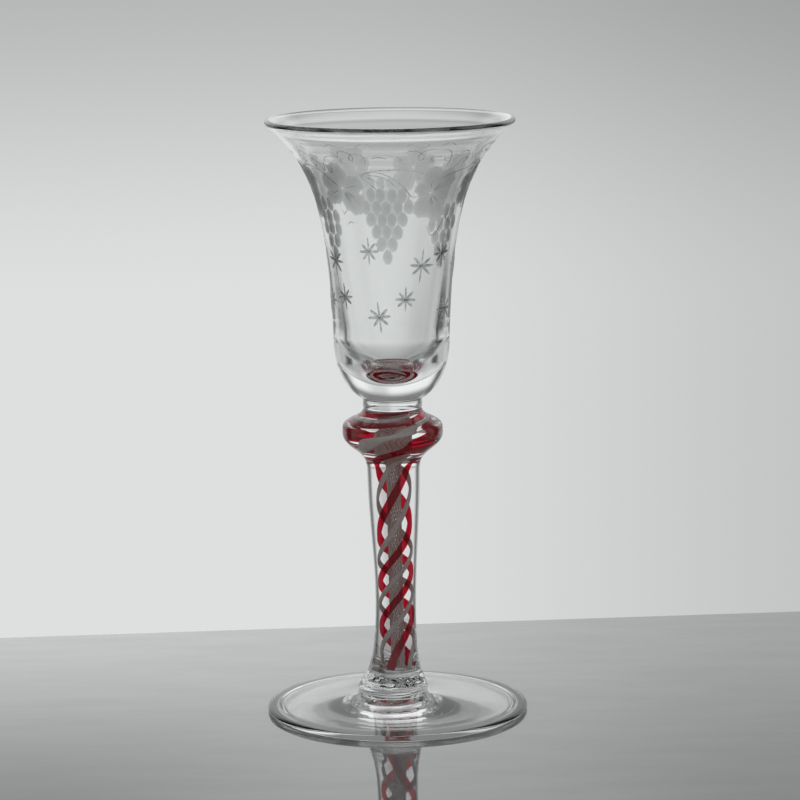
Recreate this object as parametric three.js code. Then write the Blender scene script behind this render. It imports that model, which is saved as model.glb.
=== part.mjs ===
// Colour twist wine glass: bell bowl, shoulder-knopped stem with a red and white twist, conical foot.
// Millimetres, +Z up. The origin is on the axis, in the plane that the foot rests on.
import * as THREE from 'three';

// Heights of the three gathers of glass, stacked from the foot up.
const FOOT_HEIGHT = 11.5; // Table to the joint of foot and stem
const STEM_LENGTH = 75.7; // Joint of foot and stem to the joint of stem and bowl
const BOWL_HEIGHT = 81.7; // Joint of stem and bowl to the top of the lip

// Foot.
const FOOT_RADIUS = 37.0;
const FOOT_EDGE = 1.8; // Thickness at the rounded edge
const FOOT_RISE = 3.1; // Rise of the top surface from the edge to the boss
const CONE_EVEN = 0.7; // Share of the rise that is even, and the rest gathers near the boss
const CONE_POWER = 5;
const FOOT_HOLLOW = 2.3; // Height of the hollow underside at its middle
const HOLLOW_EDGE = 1.2; // Its height just inside the resting ring
const HOLLOW_EDGE_WIDTH = 2.3; // Width over which it rises to that
const REST_RING_WIDTH = 2.3; // Flat ring that touches the table, inside the rounded edge
const BOSS_RADIUS = 9.6; // Widest part of the boss under the stem
const BOSS_HEIGHT = 2.9; // Upright side of the boss, above the foot's cone
const BOSS_BULGE = 0.2; // How far that side is rounded out
const PONTIL_RADIUS = 4.5; // Scar where the pontil rod was snapped off
const PONTIL_DEPTH = 0.3;

// Stem.
const STEM_FOOT_RADIUS = 7.65; // At the joint with the foot
const STEM_WAIST_RADIUS = 5.7; // Thinnest, in the lower half
const STEM_TOP_RADIUS = 7.45; // Under the knop
const STEM_FLARE = 5.1; // Height over which the foot end of the stem tapers in
const WAIST_HEIGHT = 18.0; // Above the joint with the foot, where the stem starts to widen again
const KNOP_RADIUS = 14.2;
const KNOP_DROP = 6.7; // Widest part of the knop below the joint with the bowl
const KNOP_BELOW = 5.6; // Half height of the knop under its widest part
const KNOP_ABOVE = 4.4; // Half height over it
const KNOP_REACH = 1.8; // Half heights under its widest part at which the knop runs out into the stem
const KNOP_CURVE_BELOW = 2.6; // Power of the knop's curve under its widest part
const KNOP_CURVE_ABOVE = 4.2; // Power over it, where the shoulder is squarer
const NECK_RADIUS = 8.4; // Where stem and bowl are joined

// Tapes, core and gauze inside the stem.
const TWIST_KNOP_RADIUS = 9.5; // Outside of the tapes in the knop
const TWIST_NECK_RADIUS = 5.3; // Outside of the tapes at the joint with the bowl
const TWIST_BELOW = 5.4; // Half height of the tapes' swelling under the knop's widest part
const TWIST_ABOVE = 4.1; // Half height over it
const RED_WIDTH = 2.1; // Measured round the stem
const RED_THICKNESS = 0.85;
const WHITE_WIDTH = 1.75;
const WHITE_THICKNESS = 0.6;
const RED_SPREAD_LOW = 1.1; // Times as wide as in the stem that a red tape is round the knop's lower half
const RED_SPREAD_HIGH = 1.95; // The same round the knop's shoulder
const RED_SPREAD_NECK = 1.65; // The same in the neck
const WHITE_SPREAD_KNOP = 1.25; // The same for a white tape in the knop
const WHITE_SPREAD_NECK = 1.1;
const THICKNESS_SPREAD = 1.3; // Times as thick as in the stem that the tapes are in the knop
const CORE_WALL = 0.47; // Clear glass between the gauze column and the red tapes
const GAUZE_RADIUS = 1.28; // Outside of the gauze column in the stem
const GAUZE_SWELLING = 0.7; // How fully the gauze column swells where the tapes do
const THREAD_WIDTH = 0.44;
const THREAD_COUNT = 8;
const FIT = 0.3; // Gap kept between one glass and the next
const RIDGE = 0.5; // Least width of the core's ridge between two tapes

// Pitch of the twist, the height of one whole turn, from the foot up.
const PITCH_LOW = 26.1;
const PITCH_HIGH = 38.7;
const BASE_SLOWING = 0.63; // Share of the twist that is missing at the joint with the foot
const BASE_SLOWING_HEIGHT = 8.5; // Height over which it fades away
const PITCH_KNOP = 17.0;
const PITCH_NECK = 6.8; // From the knop's widest part up
const PITCH_CHANGE_HEIGHT = 37.3; // Above the joint with the foot, where the pitch lengthens
const PITCH_CHANGE_LENGTH = 10.0; // Height over which it lengthens
const KNOP_TWIST_DROP = 7.8; // Below the knop's widest part, where the twist tightens
const KNOP_TWIST_LENGTH = 3.0; // Height over which it tightens there
const NECK_TWIST_LENGTH = 2.4; // Height over which it tightens again at the knop's widest part
const RED_AT_FRONT = 6.1; // Above the joint with the foot, where a red tape crosses the front

// Bowl.
const BODY_RADIUS = 16.3; // The upright part of the bell
const BODY_START = 20.3; // Above the joint with the stem, where the base has reached the body's radius
const BASE_ROUNDING = 2.1; // Powers of the rounded base's curve, across and up
const BASE_RISE = 1.33;
const NECK_LENGTH = 3.1; // Straight neck under the bowl's base
const RIM_RADIUS = 34.9;
const BELL_STRAIGHT = 0.11; // Share of the bell's widening that is even
const BELL_FLARE = 0.43; // Share that gathers over the upper half, and the rest turns out under the lip
const FLARE_POWER = 2.4;
const TURNOUT_POWER = 6.3;
const LIP_THICKNESS = 1.76; // The lip is fire-polished round
const RIM_WALL = 1.4; // Wall of the flared part
const BASE_WALL = 3.6; // Wall where the inside starts to round off
const CAVITY_ROUND = 11.9; // Height of the rounded bottom of the inside
const BASE_DEPTH = 9.4; // Solid glass under the inside, above the joint with the stem

// Faceting.
const SIDES = 36;
const BORE_SIDES = 8; // Round the core's bore and the centre rod
const TURN_STEP = 28; // Degrees of twist between two rings of points
const SWELL_STEP = 1.1; // Change of the twist's radius between two rings of points

const CLEAR = { color: 0xe6ecec, roughness: 0.03, metalness: 0, transparent: true, opacity: 0.35 };
const RED = { color: 0xa00018, roughness: 0.1, metalness: 0, transparent: true, opacity: 0.85 };
const WHITE = { color: 0xdedad4, roughness: 0.35, metalness: 0 };

const stemStart = FOOT_HEIGHT;
const stemEnd = FOOT_HEIGHT + STEM_LENGTH;
const total = stemEnd + BOWL_HEIGHT;
const knopHeight = stemEnd - KNOP_DROP;
const knopStart = knopHeight - KNOP_REACH * KNOP_BELOW;
const twistStemRadius = GAUZE_RADIUS + FIT + CORE_WALL + FIT + RED_THICKNESS;

const smooth = (x) => THREE.MathUtils.smoothstep(x, -0.5, 0.5);
const mix = THREE.MathUtils.lerp;

// A knop-shaped swelling of 1 at the knop's widest part that fades to 0 below and, more squarely, above it.
function swelling(z, below, above) {
  const away = z - knopHeight;
  if (away < 0) return Math.exp(-((-away / below) ** KNOP_CURVE_BELOW));
  return Math.exp(-((away / above) ** KNOP_CURVE_ABOVE));
}

// Outside of the stem: a flared foot end, a waist, a slow widening, the knop and the neck.
function stemRadius(z) {
  const up = z - stemStart;
  const widening = THREE.MathUtils.smoothstep(up, WAIST_HEIGHT, knopStart - stemStart);
  const flare = (STEM_FOOT_RADIUS - STEM_WAIST_RADIUS) * Math.exp(-up / STEM_FLARE);
  const plain = mix(STEM_WAIST_RADIUS, STEM_TOP_RADIUS, widening) + flare;
  return mix(z < knopHeight ? plain : NECK_RADIUS, KNOP_RADIUS, swelling(z, KNOP_BELOW, KNOP_ABOVE));
}

const swollen = (z) => swelling(z, TWIST_BELOW, TWIST_ABOVE);

// Outside of the tapes: even in the stem, swollen in the knop, and narrower again at the bowl.
function twistRadius(z) {
  const base = z < knopHeight ? twistStemRadius : TWIST_NECK_RADIUS;
  return mix(base, TWIST_KNOP_RADIUS, swollen(z));
}

// The fit measured across the stem, so that FIT is left square to the tapes where their swelling slants.
function slantedFit(z) {
  const step = FIT / 2;
  return FIT * Math.hypot(1, (twistRadius(z + step) - twistRadius(z - step)) / (2 * step));
}

// The gauze column swells with the tapes round it, as the glass was pressed short to form the knop.
function gauzeRadius(z) {
  const swell = (twistRadius(z) - twistStemRadius) / twistStemRadius;
  return GAUZE_RADIUS + GAUZE_RADIUS * GAUZE_SWELLING * swell;
}

// Turns of twist per millimetre at a height.
function twistRate(z) {
  const toHigh = smooth((z - stemStart - PITCH_CHANGE_HEIGHT) / PITCH_CHANGE_LENGTH);
  const toKnop = smooth((z - knopHeight + KNOP_TWIST_DROP) / KNOP_TWIST_LENGTH);
  const toNeck = smooth((z - knopHeight) / NECK_TWIST_LENGTH);
  const slowing = BASE_SLOWING * Math.exp(-(((z - stemStart) / BASE_SLOWING_HEIGHT) ** 2));
  const stem = mix(1 / PITCH_LOW, 1 / PITCH_HIGH, toHigh) * (1 - slowing);
  return mix(mix(stem, 1 / PITCH_KNOP, toKnop), 1 / PITCH_NECK, toNeck);
}

// Heights and angles of the rings that every twisted piece shares, so that their facets keep their gaps.
function twistRings() {
  const slices = 1200;
  const slice = STEM_LENGTH / slices;
  const step = THREE.MathUtils.degToRad(TURN_STEP);
  const rings = [{ z: stemStart, angle: 0 }];
  let angle = 0;
  let front = 0;
  for (let i = 1; i <= slices; i += 1) {
    const z = stemStart + i * slice;
    angle += twistRate(z - slice / 2) * slice * 2 * Math.PI;
    if (z - stemStart <= RED_AT_FRONT) front = angle;
    const last = rings[rings.length - 1];
    const swellStep = Math.abs(twistRadius(z) - twistRadius(last.z));
    if (i === slices || angle - last.angle >= step || swellStep >= SWELL_STEP) rings.push({ z, angle });
  }
  return rings.map((ring) => ({ z: ring.z, angle: ring.angle - front - quarter }));
}

const quarter = Math.PI / 2;
const rings = twistRings();
const group = new THREE.Group();

function addMesh(name, geometry, finish) {
  const mesh = new THREE.Mesh(geometry, new THREE.MeshStandardMaterial(finish));
  mesh.name = name;
  group.add(mesh);
}

// A body turned round the Z axis from a profile of [radius, height] points that goes up its outside.
function turned(points, sides = SIDES) {
  const profile = points.map(([radius, height]) => new THREE.Vector2(radius, height));
  return new THREE.LatheGeometry(profile, sides).rotateX(Math.PI / 2);
}

const polar = (radius, angle, z) => new THREE.Vector3(radius * Math.cos(angle), radius * Math.sin(angle), z);

// Evenly spaced numbers from one value to another, both ends included.
function spread(from, to, count) {
  return Array.from({ length: count + 1 }, (_, i) => mix(from, to, i / count));
}

// A closed body through rings of points, each anticlockwise from above, with an optional bore.
function lofted(outer, bore = []) {
  const positions = [];
  const push = (...corners) => corners.forEach((corner) => positions.push(corner.x, corner.y, corner.z));
  const wall = (loops, inward) => {
    for (let k = 0; k + 1 < loops.length; k += 1) {
      for (let i = 0; i < loops[k].length; i += 1) {
        const j = (i + 1) % loops[k].length;
        const [a, b, c, d] = [loops[k][i], loops[k][j], loops[k + 1][j], loops[k + 1][i]];
        // Each four corners are split along their shorter diagonal, which lies nearer to the twisted surface.
        const halves = a.distanceTo(c) < b.distanceTo(d) ? [a, b, c, a, c, d] : [a, b, d, b, c, d];
        push(...(inward ? halves.reverse() : halves));
      }
    }
  };
  const cap = (edge, hole, upward) => {
    const holes = hole ? [hole] : [];
    const corners = [edge, ...holes].flat();
    for (const [i, j, k] of THREE.ShapeUtils.triangulateShape(edge, holes)) {
      const [a, b, c] = [corners[i], corners[j], corners[k]];
      const turn = (b.x - a.x) * (c.y - a.y) - (b.y - a.y) * (c.x - a.x);
      if (turn > 0 === upward) push(a, b, c);
      else push(a, c, b);
    }
  };
  wall(outer, false);
  wall(bore, true);
  cap(outer[0], bore[0], false);
  cap(outer[outer.length - 1], bore[bore.length - 1], true);
  const geometry = new THREE.BufferGeometry();
  geometry.setAttribute('position', new THREE.Float32BufferAttribute(positions, 3));
  return geometry;
}

// The four tapes, a quarter turn apart: what they are, where they start round the stem, and their section.
const redTape = {
  width: RED_WIDTH,
  thickness: RED_THICKNESS,
  spreads: [RED_SPREAD_LOW, RED_SPREAD_HIGH, RED_SPREAD_NECK],
  finish: RED,
};
const whiteTape = {
  width: WHITE_WIDTH,
  thickness: WHITE_THICKNESS,
  spreads: [WHITE_SPREAD_KNOP, WHITE_SPREAD_KNOP, WHITE_SPREAD_NECK],
  finish: WHITE,
};
const tapes = [
  { name: 'red_tape_1', start: 0, ...redTape },
  { name: 'white_tape_1', start: -quarter, ...whiteTape },
  { name: 'red_tape_2', start: -2 * quarter, ...redTape },
  { name: 'white_tape_2', start: -3 * quarter, ...whiteTape },
];

// Half the angle that a tape takes round the stem, the same all the way up to where the knop spreads it.
function halfAngle(tape, z) {
  const [low, high, neck] = tape.spreads;
  const knopSpread = mix(low, high, smooth((z - knopHeight) / KNOP_ABOVE));
  const plain = tape.width / (twistStemRadius - tape.thickness / 2) / 2;
  return plain * mix(z < knopHeight ? 1 : neck, knopSpread, swollen(z));
}

const tapeThickness = (tape, z) => tape.thickness * mix(1, THICKNESS_SPREAD, swollen(z));

function tapeGeometry(tape) {
  const section = (ring) => {
    const outside = twistRadius(ring.z);
    const inside = outside - tapeThickness(tape, ring.z);
    const middle = ring.angle + tape.start;
    const half = halfAngle(tape, ring.z);
    const face = (radius, from, to) => spread(from, to, 2).map((a) => polar(radius, middle + a, ring.z));
    return [...face(outside, -half, half), ...face(inside, half, -half)];
  };
  return lofted(rings.map(section));
}

// The core's outline has a groove for each tape, with the fit on its floor and on both sides.
function coreGeometry() {
  const outline = (ring) => {
    const outside = twistRadius(ring.z);
    return tapes.slice().reverse().flatMap((tape) => {
      const middle = ring.angle + tape.start;
      const floor = outside - tapeThickness(tape, ring.z) - slantedFit(ring.z);
      const land = quarter / 2;
      // The sides slant with the twist, so their fit is wider across the stem, as far as the ridge allows.
      const slant = Math.hypot(1, 2 * Math.PI * twistRate(ring.z) * outside);
      const groove = Math.min(halfAngle(tape, ring.z) + (FIT * slant) / floor, land - RIDGE / outside / 2);
      return [
        polar(outside, middle - groove, ring.z),
        ...spread(-groove, groove, 2).map((a) => polar(floor, middle + a, ring.z)),
        polar(outside, middle + groove, ring.z),
        polar(outside, middle + land, ring.z),
      ];
    });
  };
  const bore = (ring) => {
    const radius = (gauzeRadius(ring.z) + FIT) / Math.cos(Math.PI / BORE_SIDES);
    return spread(0, 2 * Math.PI, BORE_SIDES).slice(1).map((a) => polar(radius, ring.angle + a, ring.z));
  };
  return lofted(rings.map(outline), rings.map(bore));
}

function threadGeometry(start) {
  const section = (ring) => {
    const centre = polar(gauzeRadius(ring.z) - THREAD_WIDTH / 2, ring.angle + start, ring.z);
    const corners = spread(0, 2 * Math.PI, 4).slice(1);
    return corners.map((a) => polar(THREAD_WIDTH / 2, ring.angle + start + a, 0).add(centre));
  };
  return lofted(rings.map(section));
}

// The rod fills the middle of the gauze column, and swells with it.
function rodGeometry() {
  const knop = spread(knopStart, stemEnd, 9);
  const profile = [stemStart, ...knop].map((z) => [gauzeRadius(z) - THREAD_WIDTH - FIT, z]);
  return turned([[0, stemStart], ...profile, [0, stemEnd]], BORE_SIDES);
}

// Foot: hollow underside with the pontil scar, resting ring, rounded edge, shallow cone and boss.
function footGeometry() {
  const edgeRadius = FOOT_EDGE / 2;
  const edge = spread(-quarter, quarter, 5).map((a) => [
    FOOT_RADIUS - edgeRadius + edgeRadius * Math.cos(a),
    edgeRadius + edgeRadius * Math.sin(a),
  ]);
  const bossFoot = FOOT_EDGE + FOOT_RISE;
  const bossTop = bossFoot + BOSS_HEIGHT;
  const cone = [0.5, 0.75, 0.9].map((t) => [
    mix(FOOT_RADIUS, BOSS_RADIUS, t),
    mix(FOOT_EDGE, bossFoot, CONE_EVEN * t + (1 - CONE_EVEN) * t ** CONE_POWER),
  ]);
  const boss = [
    [BOSS_RADIUS, bossFoot],
    [BOSS_RADIUS + BOSS_BULGE, mix(bossFoot, bossTop, 0.5)],
    [BOSS_RADIUS, bossTop],
    [mix(BOSS_RADIUS, STEM_FOOT_RADIUS, 0.45), mix(bossTop, FOOT_HEIGHT, 0.45)],
    [stemRadius(stemStart), FOOT_HEIGHT],
    [0, FOOT_HEIGHT],
  ];
  const ringInside = FOOT_RADIUS - edgeRadius - REST_RING_WIDTH;
  const hollow = [
    [0, FOOT_HOLLOW - PONTIL_DEPTH],
    [PONTIL_RADIUS * 0.8, FOOT_HOLLOW - PONTIL_DEPTH],
    [PONTIL_RADIUS, FOOT_HOLLOW],
    [ringInside - HOLLOW_EDGE_WIDTH, HOLLOW_EDGE],
    [ringInside, 0],
  ];
  return turned([...hollow, ...edge, ...cone, ...boss]);
}

// Casing: the stem's outside, and a bore that follows the tapes with the fit round them.
function casingGeometry() {
  const shaft = spread(stemStart, knopStart, 10);
  const knop = spread(knopStart, stemEnd, 15).slice(1);
  const outside = [...shaft, ...knop].map((z) => [stemRadius(z), z]);
  // A turned bore's flats lie nearer to the axis than its corners, so the corners are moved out.
  const boreRadius = (z) => (slantedFit(z) + twistRadius(z)) / Math.cos(Math.PI / SIDES);
  const inside = [stemStart, knopStart, ...knop].map((z) => [boreRadius(z), z]);
  return turned([...outside, ...inside.reverse(), outside[0]]);
}

// Bowl: neck, rounded base, upright body flaring to the rim, rounded lip, and a round-bottomed inside.
function bowlGeometry() {
  const lipRadius = LIP_THICKNESS / 2;
  const bodyStart = stemEnd + BODY_START;
  const neckTop = stemEnd + NECK_LENGTH;
  const lipCentre = [RIM_RADIUS - lipRadius, total - lipRadius];
  // Share of the flare reached at a share of the height between the body and the lip.
  const terms = [
    [BELL_STRAIGHT, 1],
    [BELL_FLARE, FLARE_POWER],
    [1 - BELL_STRAIGHT - BELL_FLARE, TURNOUT_POWER],
  ];
  const flare = (t) => terms.reduce((sum, [share, power]) => sum + share * t ** power, 0);
  const flareSlope = (t) => terms.reduce((sum, [share, power]) => sum + share * power * t ** (power - 1), 0);
  // The flare meets the round lip at about 45 degrees.
  const flareHeight = lipCentre[1] - lipRadius * Math.SQRT1_2 - bodyStart;
  const flareReach = lipCentre[0] + lipRadius * Math.SQRT1_2 - BODY_RADIUS;
  const slopeAt = (t) => (flareReach * flareSlope(t)) / flareHeight;
  // A point of the outside of the flare moved inward, square to the wall, by a depth.
  const wallPoint = (t, depth) => {
    const tilt = Math.atan(slopeAt(t));
    const radius = BODY_RADIUS + flareReach * flare(t) - depth * Math.cos(tilt);
    return [radius, bodyStart + flareHeight * t + depth * Math.sin(tilt)];
  };
  const base = spread(0, 1, 9).slice(0, -1).map((s) => [
    mix(NECK_RADIUS, BODY_RADIUS, 1 - (1 - s) ** BASE_ROUNDING),
    mix(neckTop, bodyStart, s ** BASE_RISE),
  ]);
  // Rings of points lie closer together towards the lip, where the wall turns most.
  const crowding = 0.55;
  const shares = spread(0, 1, 10).map((u) => u ** crowding);
  const outside = shares.slice(0, -1).map((t) => wallPoint(t, 0));
  const lipStart = -Math.atan(slopeAt(1));
  const lip = spread(lipStart, lipStart + Math.PI, 6).map((a) => [
    lipCentre[0] + lipRadius * Math.cos(a),
    lipCentre[1] + lipRadius * Math.sin(a),
  ]);
  const cavityBottom = stemEnd + BASE_DEPTH;
  const roundTop = cavityBottom + CAVITY_ROUND;
  const roundShare = (roundTop - bodyStart) / flareHeight;
  // The wall is even in the upper part of the bell, and thickens down to the base and up into the lip.
  const evenFrom = 0.65;
  const thickening = 1.8;
  const lipJoinFrom = 0.94;
  const wall = (t) => {
    const thicker = Math.max(0, (evenFrom - t) / (evenFrom - roundShare));
    const lipJoin = THREE.MathUtils.smoothstep(t, lipJoinFrom, 1);
    return mix(RIM_WALL + (BASE_WALL - RIM_WALL) * thicker ** thickening, LIP_THICKNESS, lipJoin);
  };
  const insideShares = shares.map((share) => mix(roundShare, 1, share)).reverse().slice(1);
  const inside = insideShares.map((t) => wallPoint(t, wall(t)));
  const [roundRadius, roundHeight] = inside[inside.length - 1];
  const round = spread(0, quarter, 8).slice(1).map((a) => [
    roundRadius * Math.cos(a),
    mix(roundHeight, cavityBottom, Math.sin(a)),
  ]);
  round[round.length - 1][0] = 0;
  const bottom = [[0, stemEnd], [NECK_RADIUS, stemEnd]];
  return turned([...bottom, ...base, ...outside, ...lip, ...inside, ...round]);
}

addMesh('foot', footGeometry(), CLEAR);
addMesh('stem_casing', casingGeometry(), CLEAR);
addMesh('stem_core', coreGeometry(), CLEAR);
for (const tape of tapes) addMesh(tape.name, tapeGeometry(tape), tape.finish);
for (let i = 0; i < THREAD_COUNT; i += 1) {
  addMesh(`gauze_thread_${i + 1}`, threadGeometry((i * 2 * Math.PI) / THREAD_COUNT), WHITE);
}
addMesh('centre_rod', rodGeometry(), CLEAR);
addMesh('bowl', bowlGeometry(), CLEAR);

export default group;
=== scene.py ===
import math

import bpy
import numpy as np
from mathutils import Matrix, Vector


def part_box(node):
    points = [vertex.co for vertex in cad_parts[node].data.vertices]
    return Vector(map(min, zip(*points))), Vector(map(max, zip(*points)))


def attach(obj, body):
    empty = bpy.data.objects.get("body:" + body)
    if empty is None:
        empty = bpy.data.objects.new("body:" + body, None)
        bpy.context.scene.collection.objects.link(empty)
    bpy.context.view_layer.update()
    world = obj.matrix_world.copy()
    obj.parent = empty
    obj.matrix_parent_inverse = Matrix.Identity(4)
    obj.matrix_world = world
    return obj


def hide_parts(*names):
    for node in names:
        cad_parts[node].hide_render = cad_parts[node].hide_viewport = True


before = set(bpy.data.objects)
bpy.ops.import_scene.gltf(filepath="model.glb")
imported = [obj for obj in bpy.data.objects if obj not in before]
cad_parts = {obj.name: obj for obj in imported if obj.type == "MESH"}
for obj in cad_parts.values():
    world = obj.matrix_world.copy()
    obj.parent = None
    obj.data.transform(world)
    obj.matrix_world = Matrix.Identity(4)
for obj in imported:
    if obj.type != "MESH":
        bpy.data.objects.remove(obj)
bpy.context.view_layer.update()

bl_info = {
    "name": "Colour twist wine glass",
    "version": (1, 0, 0),
    "blender": (4, 5, 0),
    "location": "3D View > Sidebar > Wine glass",
    "description": "Builds a stemmed wine glass with a red and white twist in its stem",
    "category": "Add Mesh",
}

MM = 0.001
CRYSTAL_TINT = (0.985, 0.992, 0.99)
CRYSTAL_IOR = 1.55

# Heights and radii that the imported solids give.
JOINT_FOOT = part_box("foot")[1].z
JOINT_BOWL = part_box("stem_casing")[1].z
RIM_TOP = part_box("bowl")[1].z
FOOT_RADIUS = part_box("foot")[1].x
KNOP_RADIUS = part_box("stem_casing")[1].x
RIM_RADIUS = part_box("bowl")[1].x


# Properties that a user would change


def length_setting(name, description, default):
    """A length that a user may change."""
    return bpy.props.FloatProperty(name=name, description=description, default=default, unit="LENGTH")


def colour_setting(name, description, default):
    """A colour that a user may change."""
    return bpy.props.FloatVectorProperty(
        name=name, description=description, default=default, size=3, subtype="COLOR"
    )


class GlassSizes(bpy.types.PropertyGroup):
    """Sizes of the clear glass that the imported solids' boxes don't give."""

    foot_edge: length_setting("Foot edge", "Thickness of the foot at its rounded edge", 1.8 * MM)
    foot_hollow: length_setting("Foot hollow", "Height of the hollow under the foot", 2.3 * MM)
    knop_drop: length_setting("Knop drop", "Knop's widest part below the bowl's joint", 6.7 * MM)
    neck_radius: length_setting("Neck radius", "Radius where stem and bowl are joined", 8.4 * MM)
    body_radius: length_setting("Body radius", "Radius of the upright part of the bowl", 16.3 * MM)
    cavity_depth: length_setting("Solid base", "Solid glass under the inside of the bowl", 9.4 * MM)


class GlassColours(bpy.types.PropertyGroup):
    """Colours of the glass and the enamels."""

    ruby: colour_setting("Red glass", "Colour of the red tapes", (0.8, 0.006, 0.04))
    enamel: colour_setting("White glass", "Colour of the white tapes and threads", (0.98, 0.89, 0.85))
    frost: colour_setting("Engraving", "Colour of the ground glass", (0.52, 0.53, 0.53))


# Curves shared by the pieces


def smoothstep(x, low, high):
    """0 up to low, 1 from high, and 3t^2 - 2t^3 between."""
    t = np.clip((x - low) / (high - low), 0, 1)
    return t * t * (3 - 2 * t)


def mix(a, b, t):
    """The value at share t of the way from a to b."""
    return a + (b - a) * t


def knop_height():
    """Height of the knop's widest part."""
    return JOINT_BOWL - bpy.context.scene.glass_sizes.knop_drop


def swelling(z, below, above):
    """1 at the knop's widest part: exp(-(d/below)^2.6) under it and exp(-(d/above)^4.2) over it."""
    away = z - knop_height()
    under = np.exp(-np.maximum(-away / below, 0) ** 2.6)
    over = np.exp(-np.maximum(away / above, 0) ** 4.2)
    return np.where(away < 0, under, over)


# How far the knop reaches below and above its widest part, on the outside and in the twist.
KNOP_REACH = (5.6 * MM, 4.4 * MM)
TWIST_REACH = (5.4 * MM, 4.1 * MM)


def stem_radius(z):
    """Outside of the stem: a waist that widens by a smoothstep over an exponential flare, and the knop."""
    waist, top, foot_end, flare = 5.7 * MM, 7.45 * MM, 7.65 * MM, 5.1 * MM
    up = z - JOINT_FOOT
    widening = smoothstep(up, 18 * MM, knop_height() - 10.1 * MM - JOINT_FOOT)
    plain = mix(waist, top, widening) + (foot_end - waist) * np.exp(-up / flare)
    base = np.where(z < knop_height(), plain, bpy.context.scene.glass_sizes.neck_radius)
    return mix(base, KNOP_RADIUS, swelling(z, *KNOP_REACH))


# Outside of the tapes in the stem, the neck and the knop.
TWIST_STEM_RADIUS, TWIST_NECK_RADIUS, TWIST_KNOP_RADIUS = 3.2 * MM, 5.3 * MM, 9.5 * MM
GAUZE_RADIUS = 1.28 * MM


def twist_radius(z):
    """Outside of the tapes: even in the stem, swollen in the knop, and narrower again at the bowl."""
    base = np.where(z < knop_height(), TWIST_STEM_RADIUS, TWIST_NECK_RADIUS)
    return mix(base, TWIST_KNOP_RADIUS, swelling(z, *TWIST_REACH))


def gauze_radius(z):
    """Outside of the gauze column, which swells 0.7 times as much as the tapes do."""
    return GAUZE_RADIUS * (1 + 0.7 * (twist_radius(z) / TWIST_STEM_RADIUS - 1))


def tape_half_angle(z, plain, low, high, neck):
    """Half the angle that a tape takes: plain in the stem, and times low, high and neck in the knop's lower
    half, its shoulder and the neck."""
    knop = mix(low, high, smoothstep(z - knop_height(), -2.2 * MM, 2.2 * MM))
    return plain * mix(np.where(z < knop_height(), 1, neck), knop, swelling(z, *TWIST_REACH))


# Height in mm of one turn of the twist: low in the stem, higher up, in the knop and over it.
LOW_PITCH, HIGH_PITCH, KNOP_PITCH, NECK_PITCH = 26.1, 38.7, 17, 6.8
# Height over the foot's joint where the first red tape crosses the front.
RED_CROSSING = 6.1 * MM


def twist_angle(z):
    """Angle of the first red tape: the integral of one turn per pitch, with 0.63 exp(-(h/8.5 mm)^2) of the
    rate missing at a height h over the foot, and -90 degrees where the tape crosses the front."""
    steps = np.linspace(JOINT_FOOT - 2 * MM, JOINT_BOWL + 2 * MM, 4000)
    up, over_knop = steps - JOINT_FOOT, steps - knop_height()
    high = smoothstep(up, 32.3 * MM, 42.3 * MM)
    knop = smoothstep(over_knop, -9.3 * MM, -6.3 * MM)
    neck = smoothstep(over_knop, -1.2 * MM, 1.2 * MM)
    rate = mix(1 / LOW_PITCH, 1 / HIGH_PITCH, high) * (1 - 0.63 * np.exp(-((up / (8.5 * MM)) ** 2)))
    rate = mix(mix(rate, 1 / KNOP_PITCH, knop), 1 / NECK_PITCH, neck) / MM
    turns = np.concatenate([[0], np.cumsum((rate[1:] + rate[:-1]) / 2 * np.diff(steps))])
    front = np.interp(JOINT_FOOT + RED_CROSSING, steps, turns)
    return (np.interp(z, steps, turns) - front) * 2 * math.pi - math.pi / 2


# Mesh building


def polar(radius, angle, height):
    """Points (r cos a, r sin a, z)."""
    return np.stack(np.broadcast_arrays(radius * np.cos(angle), radius * np.sin(angle), height), -1)


def leaned(points):
    """The points moved as the glass leans: 0.5 mm to the left up the stem, and 0.2 mm back at the lip."""
    points = np.array(points, float)
    height = points[:, 2]
    left = -0.5 * MM * smoothstep(height, 10 * MM, 90 * MM)
    points[:, 0] += left + 0.2 * MM * smoothstep(height, 130 * MM, RIM_TOP)
    return points


def off_centre(points):
    """The points moved to the left by up to 1.3 mm, as the boss stands a little off the foot's middle."""
    points = np.array(points, float)
    height = points[:, 2]
    fading = np.exp(-np.maximum(height - 6.5 * MM, 0) / (11 * MM))
    points[:, 0] -= 1.3 * MM * smoothstep(height, 2.5 * MM, 5 * MM) * fading
    return points


def add_piece(name, vertices, faces, flat=(), joints=()):
    """A mesh object from plain arrays, smooth but for the faces in flat and joints. The joint faces take the
    piece's second material."""
    mesh = bpy.data.meshes.new(name)
    mesh.from_pydata(vertices, [], faces)
    smooth = np.ones(len(mesh.polygons), bool)
    smooth[[*flat, *joints]] = False
    mesh.polygons.foreach_set("use_smooth", smooth)
    slots = np.zeros(len(mesh.polygons), np.int32)
    slots[[*joints]] = 1
    mesh.polygons.foreach_set("material_index", slots)
    mesh.update()
    piece = bpy.data.objects.new(name, mesh)
    bpy.context.scene.collection.objects.link(piece)
    return piece


def dress(piece, materials, nodes):
    """Gives a piece its materials and body, and hides the solids that it stands for."""
    for material in materials:
        piece.data.materials.append(material)
    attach(piece, "root")
    if nodes:
        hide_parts(*nodes)


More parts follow.
